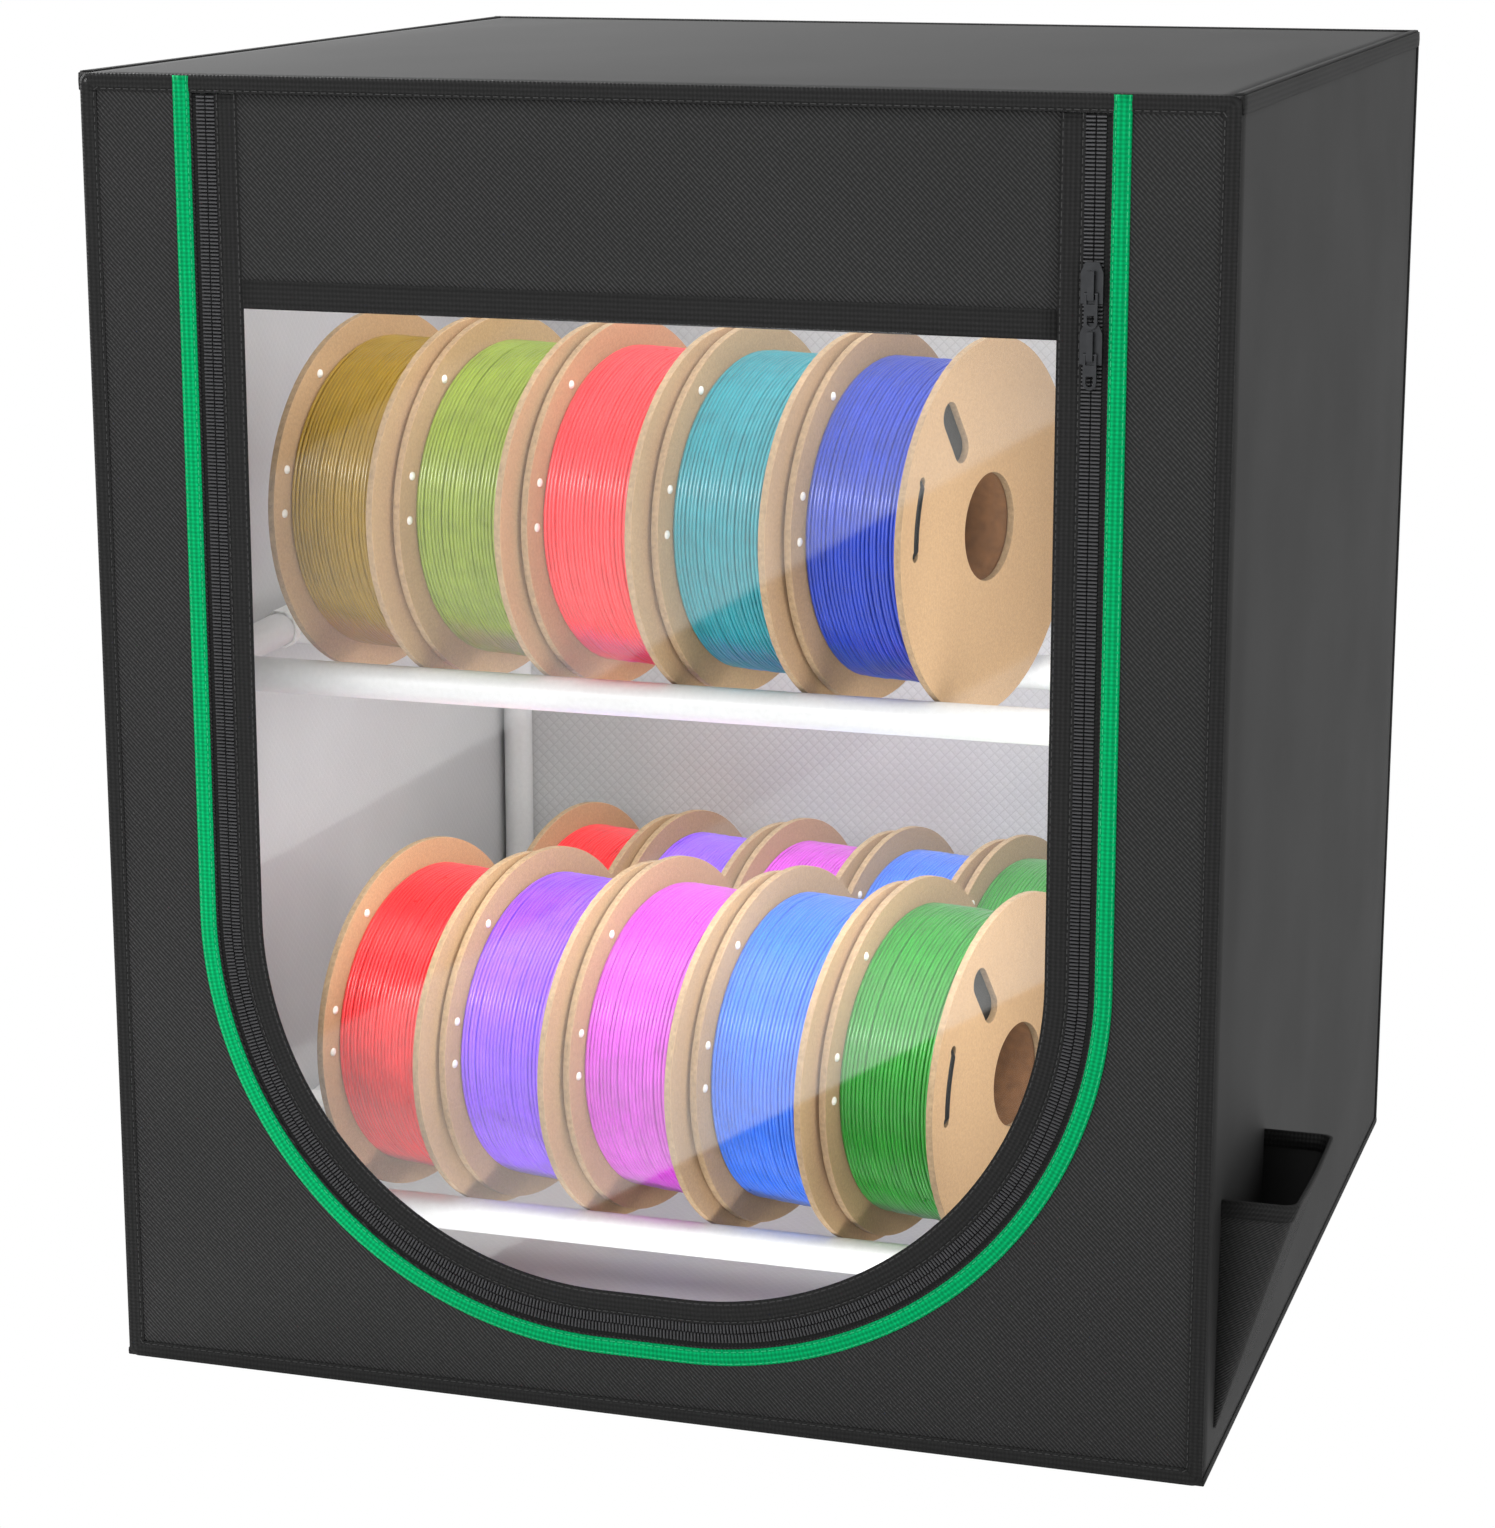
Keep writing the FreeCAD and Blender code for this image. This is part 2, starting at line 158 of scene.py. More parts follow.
def buildRibGroup():
    tree, ins, outs = patternGroup("ribbedTape", "Period", 0.0016, "Thread")
    along, across = splitVector(tree, ins.outputs["Vector"])
    turns = mathNode(tree, "DIVIDE", 2 * math.pi, ins.outputs["Period"])
    rib = wave(tree, along, turns, ribbed["rib"])
    warp = wave(tree, across, mathNode(tree, "MULTIPLY", turns, ribbed["warpPace"]), ribbed["warp"])
    height = mathNode(tree, "ADD", mathNode(tree, "ADD", rib, warp), 0.5)
    link(tree, height, outs.inputs["Height"])
    grain = noiseValue(tree, ins.outputs["Vector"], ribbed["grain"])
    link(tree, mathNode(tree, "MULTIPLY", height, mathNode(tree, "ADD", grain, 0.5)), outs.inputs["Thread"])
    return tree


def buildDiamondGroup():
    tree, ins, outs = patternGroup("diamondEmboss", "Size", 0.016, "Crease")
    along, up = splitVector(tree, ins.outputs["Vector"])
    creases = []
    for operation in ("ADD", "SUBTRACT"):
        line = mathNode(tree, operation, along, up)
        cell = mathNode(tree, "FRACT", mathNode(tree, "DIVIDE", line, ins.outputs["Size"]))
        creases.append(mathNode(tree, "ABSOLUTE", mathNode(tree, "SUBTRACT", cell, 0.5)))
    nearest = mathNode(tree, "MAXIMUM", *creases)
    link(tree, mathNode(tree, "SUBTRACT", 1, nearest), outs.inputs["Height"])
    link(tree, mathNode(tree, "GREATER_THAN", nearest, 0.44), outs.inputs["Crease"])
    return tree


twillGroup, ribGroup, diamondGroup = buildTwillGroup(), buildRibGroup(), buildDiamondGroup()


# materials
def newMaterial(name):
    material = bpy.data.materials.new(name)
    material.use_nodes = True
    tree = material.node_tree
    return material, tree, tree.nodes["Principled BSDF"]


def patternMaterial(name, group, size, colour, contrast, bump, roughness,
                    dark=0.62, light=1.75, specular=0.5):
    material, tree, shader = newMaterial(name)
    coords = addNode(tree, "ShaderNodeUVMap", uv_map="cloth")
    pattern = addNode(tree, "ShaderNodeGroup", node_tree=group)
    link(tree, coords.outputs[0], pattern.inputs[0])
    pattern.inputs[1].default_value = size
    cloud = noiseValue(tree, coords.outputs[0], 9, 4)
    tone = mathNode(tree, "ADD", mathNode(tree, "MULTIPLY", pattern.outputs[1], contrast),
                    mathNode(tree, "MULTIPLY", cloud, 0.22))
    base = linear(colour)
    tint = ramp(tree, tone, [(0.0, shade(base, dark)), (0.45, base), (1.0, shade(base, light))])
    link(tree, tint, shader.inputs["Base Color"])
    link(tree, scaled(tree, cloud, 0.16, roughness - 0.08), shader.inputs["Roughness"])
    reliefOn(tree, shader, pattern.outputs[0], bump, 0.0006)
    shader.inputs["Specular IOR Level"].default_value = specular
    return material


def plainMaterial(name, colour, roughness, metallic=0.0, grainScale=60.0, spread=0.12, bump=0.05, coat=0.0):
    material, tree, shader = newMaterial(name)
    coords = addNode(tree, "ShaderNodeTexCoord")
    grain = noiseValue(tree, coords.outputs["Object"], grainScale, 5)
    base = linear(colour)
    tint = ramp(tree, grain, [(0.3, shade(base, 1 - spread)), (0.7, shade(base, 1 + spread))])
    link(tree, tint, shader.inputs["Base Color"])
    link(tree, scaled(tree, grain, 0.2, roughness - 0.1), shader.inputs["Roughness"])
    reliefOn(tree, shader, grain, bump, 0.0005)
    shader.inputs["Metallic"].default_value = metallic
    shader.inputs["Coat Weight"].default_value = coat
    shader.inputs["Coat Roughness"].default_value = 0.22
    return material


# the film's white bands are painted reflection: stripes fixed in its alpha that stand in for the studio's
# reflections across the window; between them the film is nearly clear
film = {"turn": -31, "stretch": 1.6, "ripple": 5, "colour": (0.92, 0.93, 0.93, 1),
        "paintedReflection": ((0.180, 0.01), (0.184, 0.12), (0.414, 0.06), (0.420, 0.01),     # lower band
                 (0.566, 0.01), (0.572, 0.095), (0.845, 0.035), (0.852, 0.01))}  # upper band


def filmMaterial():
    material, tree, shader = newMaterial("windowFilm")
    coords = addNode(tree, "ShaderNodeUVMap", uv_map="cloth")
    turned = addNode(tree, "ShaderNodeMapping")
    turned.inputs["Rotation"].default_value = (0, 0, math.radians(film["turn"]))
    link(tree, coords.outputs[0], turned.inputs[0])
    rise = splitVector(tree, turned.outputs[0])[1]
    ripple = noiseValue(tree, coords.outputs[0], film["ripple"])
    # painted reflection: the bands, broken up by the ripple noise, set how much of the white film shows
    bands = ramp(tree, mathNode(tree, "MULTIPLY", rise, film["stretch"]),
                 [(spot, (amount,) * 3) for spot, amount in film["paintedReflection"]])
    paintedReflection = mathNode(tree, "MULTIPLY", bands, mathNode(tree, "ADD", ripple, 0.5))
    link(tree, paintedReflection, shader.inputs["Alpha"])
    shader.inputs["Base Color"].default_value = film["colour"]
    link(tree, scaled(tree, ripple, 0.1, 0.12), shader.inputs["Roughness"])
    reliefOn(tree, shader, ripple, 0.2, 0.003)
    return material


frontCloth = patternMaterial("frontTwill", twillGroup, 0.0024, "212121", 0.72, 1.0, 0.78, 0.2, 3.2, 0.25)
sideCloth = patternMaterial("sideCloth", twillGroup, 0.0011, "222222", 0.25, 0.18, 0.7, specular=0.2)
roofCloth = patternMaterial("roofCloth", twillGroup, 0.0011, "484848", 0.2, 0.15, 0.7, specular=0.02)
tapeCloth = patternMaterial("edgeTape", ribGroup, 0.0021, "131313", 0.8, 0.8, 0.75, 0.35, 2.2, 0.22)
webbingCloth = patternMaterial("greenWebbing", ribGroup, 0.0022, "00864e", 0.75, 0.7, 0.8, specular=0.05)
liningDiamond = patternMaterial("liningDiamond", diamondGroup, 0.0075, "dcdddd", -0.55, 0.6, 0.38)
liningPlain = patternMaterial("liningPlain", diamondGroup, 0.006, "dededf", 0.06, 0.15, 0.42)
windowFilm = filmMaterial()
threadBlack = plainMaterial("threadBlack", "2a2a2a", 0.7, grainScale=900)
threadGreen = plainMaterial("threadGreen", "14a068", 0.7, grainScale=900)
teethGrey = plainMaterial("zipTeeth", "2e2e30", 0.55, grainScale=300)
gunMetal = plainMaterial("gunMetal", "2a2b2d", 0.36, metallic=0.7, grainScale=240)
tubeWhite = plainMaterial("tubeWhite", "d2d3d3", 0.38, grainScale=380, spread=0.03, coat=0.2)
fittingWhite = plainMaterial("fittingWhite", "dfe0de", 0.5, grainScale=260, spread=0.04)
cardFace = plainMaterial("cardFace", "bb9a74", 0.9, grainScale=700, spread=0.1, bump=0.12)
cardRim = plainMaterial("cardRim", "a2896a", 0.9, grainScale=420, spread=0.2, bump=0.3)
coreBrown = plainMaterial("coreBrown", "7a5638", 0.8, grainScale=200, spread=0.2, bump=0.2)
rivetWhite = plainMaterial("rivetWhite", "eeeae2", 0.45, grainScale=300, spread=0.04)
# near-black: the wire clip's own colour, and also painted shade on the sides of the winding beds
clipBlackAndPaintedShade = plainMaterial("clipBlackAndPaintedShade", "1c1e1e", 0.45, metallic=0.2, grainScale=300)
print("materials ready")


# mesh helpers
def addObject(name, data):
    piece = bpy.data.objects.new(name, data)
    bpy.context.scene.collection.objects.link(piece)
    return piece


def makeObject(name, verts, faces, materials, uvs=None, smooth=True):
    mesh = bpy.data.meshes.new(name)
    mesh.from_pydata([tuple(v) for v in verts], [], faces)
    if uvs is not None:
        layer = mesh.uv_layers.new(name="cloth")
        for loop in mesh.loops:
            layer.data[loop.index].uv = uvs[loop.vertex_index]
    for material in materials:
        mesh.materials.append(material)
    if smooth:
        mesh.polygons.foreach_set("use_smooth", [True] * len(mesh.polygons))
    mesh.update()
    return addObject(name, mesh)


# faces of a grid whose points run along its rows
def gridFaces(countU, countV, turned=False):
    row = countU + 1
    starts = [j * row + i for j in range(countV) for i in range(countU)]
    if turned:
        return [(a, a + row, a + row + 1, a + 1) for a in starts]
    return [(a, a + 1, a + row + 1, a + row) for a in starts]


def faceOutward(piece, merge=None):
    shell = bmesh.new()
    shell.from_mesh(piece.data)
    if merge:
        bmesh.ops.remove_doubles(shell, verts=shell.verts, dist=merge)
    bmesh.ops.recalc_face_normals(shell, faces=shell.faces)
    shell.to_mesh(piece.data)
    shell.free()


def faceFront(piece):
    if piece.data.polygons[0].normal.y > 0:
        piece.data.flip_normals()


def settle(piece, body, slotName, *nodes):
    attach(piece, body)
    if nodes:
        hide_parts(*nodes)
    return piece


def thicken(piece, thickness, inner):
    solid = piece.modifiers.new("thickness", "SOLIDIFY")
    solid.thickness = thickness
    solid.offset = -1
    piece.data.materials.append(inner)
    solid.material_offset = 1
    solid.material_offset_rim = 0
    return piece


# the cover's panels: a fine grid with soft ripples, still at its edges
cover = {"halfWidth": 0.300, "halfDepth": 0.300, "height": 0.700, "cloth": 0.0012, "cell": 0.012,
         "ripple": 0.0016, "bulge": 0.0022}
w, d, h = cover["halfWidth"], cover["halfDepth"], cover["height"]


def rippleAt(u, v, seed):
    edge = min(1, 18 * u * (1 - u) * v * (1 - v) * 4)
    long = noise.noise(Vector((u * 3.1 + seed, v * 2.3, seed)))
    short = noise.noise(Vector((u * 9.0 - seed, v * 7.0, seed * 2)))
    crown = cover["bulge"] * 4 * u * (1 - u) * 4 * v * (1 - v)
    return edge * (crown + cover["ripple"] * (0.7 + long + 0.35 * short))


def clothPanel(name, corner, along, up, outward, seed, outside, inside):  # no seed: laid flat
    countU = max(2, int(along.length / cover["cell"]))
    countV = max(2, int(up.length / cover["cell"]))
    verts, uvs = [], []
    for j in range(countV + 1):
        for i in range(countU + 1):
            u, v = i / countU, j / countV
            lift = 0 if seed is None else rippleAt(u, v, seed)
            verts.append(corner + along * u + up * v + outward * lift)
            uvs.append((u * along.length, v * up.length))
    piece = makeObject(name, verts, gridFaces(countU, countV), [outside], uvs)
    if along.cross(up).dot(outward) < 0:
        piece.data.flip_normals()
    return thicken(piece, cover["cloth"], inside)


panels = {
    "roof_panel": (Vector((-w, -d, h)), xAxis * 2 * w, yAxis * 2 * d, zAxis, 1.3, roofCloth, liningPlain),
    "left_panel": (Vector((-w, d, 0)), yAxis * -2 * d, zAxis * h, -xAxis, 2.7, sideCloth, liningPlain),
    "right_panel": (Vector((w, -d, 0)), yAxis * 2 * d, zAxis * h, xAxis, 4.1, sideCloth, liningPlain),
    "back_panel": (Vector((w, d, 0)), xAxis * -2 * w, zAxis * h, yAxis, 5.9, sideCloth, liningDiamond),
}
for nodeName, (corner, along, up, *rest) in panels.items():
    piece = clothPanel(nodeName.replace("_panel", "Cloth"), corner, along, up, *rest)
    settle(piece, "frame", "cover_cloth", nodeName)
floorCloth = clothPanel("floorCloth", Vector((-w, -d, 0.0)), yAxis * 2 * d, xAxis * 2 * w, -zAxis, None,
                        sideCloth, liningPlain)
settle(floorCloth, "frame", "cover_cloth", "floor_panel")
print("cover panels")


# the door's U shape: straight legs and round lower corners
door = {"inset": 0.023, "arcHeight": 0.259, "step": 0.006, "frontY": -0.300, "tapeTop": 0.6905}


def uPath(half, top, step=door["step"]):
    inset, arcHeight = door["inset"], door["arcHeight"]
    radius, leg = half - inset, top - arcHeight
    legCount, arcCount = int(leg / step), int(radius * math.pi / 2 / step)
    baseCount = max(1, int(2 * inset / step))

    def arc(centre, start):
        turns = [start + math.pi / 2 * i / arcCount for i in range(arcCount)]
        return [(centre + radius * math.cos(t), arcHeight + radius * math.sin(t)) for t in turns]

    points = [(-half, top - leg * i / legCount) for i in range(legCount)] + arc(-inset, math.pi)
    points += [(-inset + 2 * inset * i / baseCount, arcHeight - radius) for i in range(baseCount)]
    points += arc(inset, 1.5 * math.pi)
    points += [(half, arcHeight + leg * i / legCount) for i in range(legCount + 1)]
    return [Vector((x, 0, z)) for x, z in points]


def pathTangents(path, closed=False):
    tangents = []
    count = len(path)
    for i, point in enumerate(path):
        before = path[i - 1] if i > 0 or closed else point
        after = path[(i + 1) % count] if i < count - 1 or closed else point
        tangents.append((after - before).normalized())
    return tangents


def tapeProfile(width, thick, crown=0.0):
    half = width / 2
    edge = thick * 0.35
    return [(-half, 0), (-half, thick - edge), (-half + edge, thick), (0, thick + crown),
            (half - edge, thick), (half, thick - edge), (half, 0)]


# a flat tape along a path, standing out towards its side
def sweepTape(name, path, profile, baseY, material, closed=False, side=-yAxis):
    verts, uvs, faces = [], [], []
    run = 0.0
    tangents = pathTangents(path, closed)
    size = len(profile)
    rows = len(path) + (1 if closed else 0)
    for i in range(rows):
        point = path[i % len(path)]
        if i:
            run += (point - path[i - 1]).length
        across = tangents[i % len(path)].cross(side).normalized()
        for offset, lift in profile:
            verts.append(point + across * offset + side * lift + yAxis * baseY)
            uvs.append((run, offset))
    for i in range(rows - 1):
        for k in range(size):
            a, b = i * size + k, i * size + (k + 1) % size
            faces.append((a, b, b + size, a + size))
    if not closed:
        faces.append(tuple(range(size)))
        faces.append(tuple((rows - 1) * size + k for k in range(size)))
    piece = makeObject(name, verts, faces, [material], uvs)
    faceOutward(piece, 1e-6 if closed else None)
    return piece


def straightTape(name, start, end, side, width, thick, material):
    count = max(2, int((end - start).length / 0.01))
    path = [start.lerp(end, i / count) for i in range(count + 1)]
    return sweepTape(name, path, tapeProfile(width, thick, 0.0002), 0.0, material, side=side)


# front surround: a strip from the door's opening out to the panel's edge
surround = {"openingHalf": 0.2382, "top": 0.6985, "base": 0.0012, "rings": 14, "bulge": 0.0011,
            "stillTop": 0.688, "stillBase": 0.010, "fade": 0.03}


def edgePoint(point):
    arcHeight = door["arcHeight"]
    if point.z >= arcHeight:
        return Vector((math.copysign(w, point.x), 0, point.z))
    drop = arcHeight - point.z
    reach = min(w / max(1e-6, abs(point.x)), (arcHeight - surround["base"]) / max(1e-6, drop))
    return Vector((point.x * reach, 0, arcHeight - drop * reach))


def buildSurround():
    inner = uPath(surround["openingHalf"], surround["top"], 0.009)
    outer = [edgePoint(point) for point in inner]
    for sign in (-1, 1):  # the nearest points move into the panel's lower corners
        corner = Vector((sign * w, 0, surround["base"]))
        nearest = min(range(len(outer)), key=lambda i: (outer[i] - corner).length)
        outer[nearest] = corner
    rings, fade = surround["rings"], surround["fade"]
    verts, uvs = [], []
    for a, b in zip(inner, outer):
        for k in range(rings + 1):
            t = k / rings
            point = a.lerp(b, t)
            upper, lower = (surround["stillTop"] - point.z) / fade, (point.z - surround["stillBase"]) / fade
            still = max(0, min(1, upper, lower))  # flat under the binding
            ripple = 0.6 + noise.noise(Vector((point.x * 11, 3.3, point.z * 8)))
            lift = max(0, surround["bulge"] * still * math.sin(math.pi * t) * ripple)
            verts.append(Vector((point.x, door["frontY"] - lift, point.z)))
            uvs.append((point.x, point.z))
    piece = makeObject("frontSurround", verts, gridFaces(rings, len(inner) - 1, True), [frontCloth], uvs)
    faceFront(piece)
    return thicken(piece, cover["cloth"], liningPlain)


frontSurround = buildSurround()
settle(frontSurround, "frame", "cover_cloth", "front_surround")

# tapes: edge binding, webbing, zip tapes, door border and hem band
tapes = {"binding": 0.009, "bindingThick": 0.0011, "roofThick": 0.001, "lap": 0.0042, "lapThick": 0.0009}


def roundedRectangle(halfWidth, low, high, radius, step=0.008):
    points = []
    corners = ((-1, -1, math.pi), (1, -1, 1.5 * math.pi), (1, 1, 0.0), (-1, 1, 0.5 * math.pi))
    for signX, signZ, start in corners:
        centreX = signX * (halfWidth - radius)
        centreZ = low + radius if signZ < 0 else high - radius
        for i in range(5):
            angle = start + math.pi / 2 * i / 4
            points.append(Vector((centreX + radius * math.cos(angle), 0, centreZ + radius * math.sin(angle))))
    dense = []
    for i, point in enumerate(points):
        following = points[(i + 1) % len(points)]
        count = max(1, int((following - point).length / step))
        dense += [point.lerp(following, k / count) for k in range(count)]
    return dense


middle = tapes["binding"] / 2
frontBinding = sweepTape("frontBinding", roundedRectangle(w - middle, middle, h - middle, 0.0005),
                         tapeProfile(tapes["binding"], tapes["bindingThick"], 0.0003),
                         door["frontY"], tapeCloth, closed=True)
settle(frontBinding, "frame", "tape", "front_binding")

bandZ, lap = h - middle, tapes["lap"] / 2
roofBands = {
    "roofBindingRight": ((w, -d, bandZ), (w, d, bandZ), xAxis),
    "roofBindingLeft": ((-w, d, bandZ), (-w, -d, bandZ), -xAxis),
    "roofBindingBack": ((w, d, bandZ), (-w, d, bandZ), yAxis)}
edgeLaps = {
    "roofLapLeft": ((-w + lap, d, h), (-w + lap, -d, h), zAxis),
    "roofLapRight": ((w - lap, -d, h), (w - lap, d, h), zAxis),
    "roofLapBack": ((w, d - lap, h), (-w, d - lap, h), zAxis),
    "baseBindingRight": ((w, -d, lap), (w, d, lap), xAxis),
    "baseBindingLeft": ((-w, d, lap), (-w, -d, lap), -xAxis),
    "baseBindingBack": ((w, d, lap), (-w, d, lap), yAxis),
    "backBindingRight": ((w, d - lap, middle), (w, d - lap, h - tapes["binding"]), xAxis),
    "backBindingLeft": ((-w, d - lap, middle), (-w, d - lap, h - tapes["binding"]), -xAxis)}
edgeTapes = []
for places, width, thick in ((roofBands, tapes["binding"], tapes["roofThick"]),
                             (edgeLaps, tapes["lap"], tapes["lapThick"])):
    for edgeName, (start, end, side) in places.items():
        edgeTapes.append(straightTape(edgeName, Vector(start), Vector(end), side, width, thick, tapeCloth))
for piece in edgeTapes:
    settle(piece, "frame", "tape")
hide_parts("roof_binding")

# U tapes: half width of the U, its top, the tape's width, thickness and crown, its depth behind the front
uTapes = {
    "doorWebbing": (0.2435, h - 0.0005, 0.009, 0.0013, 0.0004, -0.0003, webbingCloth),
    "zipTape": (0.2378, door["tapeTop"], 0.0144, 0.0007, 0.0, 0.0022, tapeCloth),
    "doorBorder": (0.21935, door["tapeTop"], 0.0127, 0.0011, 0.0003, 0.0011, tapeCloth),
    "zipInnerTape": (0.2278, door["tapeTop"], 0.0076, 0.0006, 0.0, 0.0030, tapeCloth)}


def uTape(name):
    half, top, width, thick, crown, depth, cloth = uTapes[name]
    return sweepTape(name, uPath(half, top), tapeProfile(width, thick, crown), door["frontY"] + depth, cloth)


settle(uTape("doorWebbing"), "frame", "webbing", "door_webbing")
settle(uTape("zipTape"), "frame", "tape", "zip_tape")
doorBorder = settle(uTape("doorBorder"), "door", "tape", "door_border")
settle(uTape("zipInnerTape"), "door", "tape")
hem = {"half": 0.213, "height": 0.5895, "depth": 0.0011, "width": 0.015, "thick": 0.0012}
hemEnds = [Vector((sign * hem["half"], door["frontY"] + hem["depth"], hem["height"])) for sign in (-1, 1)]
hemBand = straightTape("doorHemBand", *hemEnds, -yAxis, hem["width"], hem["thick"], tapeCloth)
settle(hemBand, "door", "tape", "door_hem_band")
print("tapes")

# door cloth and window
valanceCloth = {"half": 0.2145, "base": 0.596, "top": 0.6925, "depth": 0.0002, "bulge": 0.0012, "cell": 0.009,
                "thick": 0.001}


def buildValance():
    half, low, rise = valanceCloth["half"], valanceCloth["base"], valanceCloth["top"] - valanceCloth["base"]
    countU, countV = int(2 * half / valanceCloth["cell"]), max(2, int(rise / valanceCloth["cell"]))
    verts, uvs = [], []
    for j in range(countV + 1):
        for i in range(countU + 1):
            u, v = i / countU, j / countV
            x, z = -half + 2 * half * u, low + rise * v
            ripple = 0.7 + noise.noise(Vector((x * 7, 2.2, z * 9)))
            lift = valanceCloth["bulge"] * 4 * u * (1 - u) * math.sin(math.pi * v) * ripple
            verts.append(Vector((x, door["frontY"] + valanceCloth["depth"] - lift, z)))
            uvs.append((x, z))
    piece = makeObject("doorValance", verts, gridFaces(countU, countV), [frontCloth], uvs)
    return thicken(piece, valanceCloth["thick"], liningPlain)


valance = buildValance()
settle(valance, "door", "cover_cloth", "door_valance")
clear = {"half": 0.2145, "base": 0.0675, "top": 0.583, "depth": 0.0006, "bulge": 0.0022, "rings": 22}


# clear film: rings shrink from the U outline towards a line up the middle
def buildWindow():
    outline = uPath(clear["half"], clear["top"], 0.010)
    rings = clear["rings"]
    verts, uvs = [], []
    for point in outline:
        heart = Vector((0, 0, max(door["arcHeight"], min(point.z, clear["top"]))))
        for k in range(rings + 1):
            t = k / rings
            spot = point.lerp(heart, t)
            ripple = 0.8 + 0.9 * noise.noise(Vector((spot.x * 6, 1.7, spot.z * 5)))
            lift = max(0, clear["bulge"] * math.sin(math.pi / 2 * t) * ripple)
            verts.append(Vector((spot.x, door["frontY"] + clear["depth"] - lift, spot.z)))
            uvs.append((spot.x, spot.z))
    piece = makeObject("doorWindow", verts, gridFaces(rings, len(outline) - 1, True), [windowFilm], uvs)
    faceOutward(piece, 1e-5)
    faceFront(piece)
    return piece


window = buildWindow()
settle(window, "door", "window", "door_window")
print("door")


# Geometry Nodes
def geometryTree(name, inputs):
    tree = bpy.data.node_groups.new(name, "GeometryNodeTree")
    tree.interface.new_socket("Geometry", in_out="INPUT", socket_type="NodeSocketGeometry")
    for label in inputs:
        tree.interface.new_socket(label, in_out="INPUT", socket_type="NodeSocketFloat")
    tree.interface.new_socket("Material", in_out="INPUT", socket_type="NodeSocketMaterial")
    tree.interface.new_socket("Geometry", in_out="OUTPUT", socket_type="NodeSocketGeometry")
    return tree, addNode(tree, "NodeGroupInput"), addNode(tree, "NodeGroupOutput")


def endTree(tree, ins, outs, geometry):
    real = addNode(tree, "GeometryNodeRealizeInstances")
    link(tree, geometry, real.inputs[0])
    paint = addNode(tree, "GeometryNodeSetMaterial")
    link(tree, real.outputs[0], paint.inputs[0])
    link(tree, ins.outputs["Material"], paint.inputs["Material"])
    link(tree, paint.outputs[0], outs.inputs[0])
    return tree


# short bars along a path or across it, for stitches and zip teeth
def rowTree():
    tree, ins, outs = geometryTree("barsAlongPath", ("Spacing", "Length", "Radius", "Along"))
    spread = addNode(tree, "GeometryNodeResampleCurve", mode="LENGTH")
    link(tree, ins.outputs["Geometry"], spread.inputs["Curve"])
    link(tree, ins.outputs["Spacing"], spread.inputs["Length"])
    bar = addNode(tree, "GeometryNodeMeshCylinder")
    bar.inputs["Vertices"].default_value = 6
    link(tree, ins.outputs["Radius"], bar.inputs["Radius"])
    link(tree, ins.outputs["Length"], bar.inputs["Depth"])
    tangent = addNode(tree, "GeometryNodeInputTangent")
    cross = addNode(tree, "ShaderNodeVectorMath", operation="CROSS_PRODUCT")
    link(tree, tangent.outputs[0], cross.inputs[0])
    cross.inputs[1].default_value = (0, 1, 0)
    choose = addNode(tree, "ShaderNodeMix", data_type="VECTOR")
    link(tree, ins.outputs["Along"], choose.inputs[0])
    link(tree, cross.outputs[0], choose.inputs[4])
    link(tree, tangent.outputs[0], choose.inputs[5])
    turn = addNode(tree, "FunctionNodeAlignRotationToVector", axis="Z")
    link(tree, choose.outputs[1], turn.inputs["Vector"])
    spots = addNode(tree, "GeometryNodeInstanceOnPoints")
    link(tree, spread.outputs[0], spots.inputs["Points"])
    link(tree, bar.outputs[0], spots.inputs["Instance"])
    link(tree, turn.outputs[0], spots.inputs["Rotation"])
    return endTree(tree, ins, outs, spots.outputs[0])


barsAlongPath = rowTree()


def plainMesh(source):
    bpy.context.view_layer.update()
    mesh = bpy.data.meshes.new_from_object(source.evaluated_get(bpy.context.evaluated_depsgraph_get()))
    bpy.data.objects.remove(source)
    return mesh


def runTree(tree, source, name, values):
    modifier = source.modifiers.new("rows", "NODES")
    modifier.node_group = tree
    for item in tree.interface.items_tree:
        if item.item_type == "SOCKET" and item.in_out == "INPUT" and item.name in values:
            modifier[item.identifier] = values[item.name]
    mesh = plainMesh(source)
    mesh.name = name
    return addObject(name, mesh)


def addLoop(curve, points, closed):
    spline = curve.splines.new("POLY")
    spline.points.add(len(points) - 1)
    for target, point in zip(spline.points, points):
        target.co = (*point, 1)
    spline.use_cyclic_u = closed


def barRow(name, path, y, bars, along, material, closed=False):
    curve = bpy.data.curves.new(name + "Path", "CURVE")
    curve.dimensions = "3D"
    addLoop(curve, [point + yAxis * y for point in path], closed)
    return runTree(barsAlongPath, addObject(name + "Path", curve), name,
                   {"Spacing": bars["pitch"], "Length": bars["length"], "Radius": bars["radius"],
                    "Along": along, "Material": material})


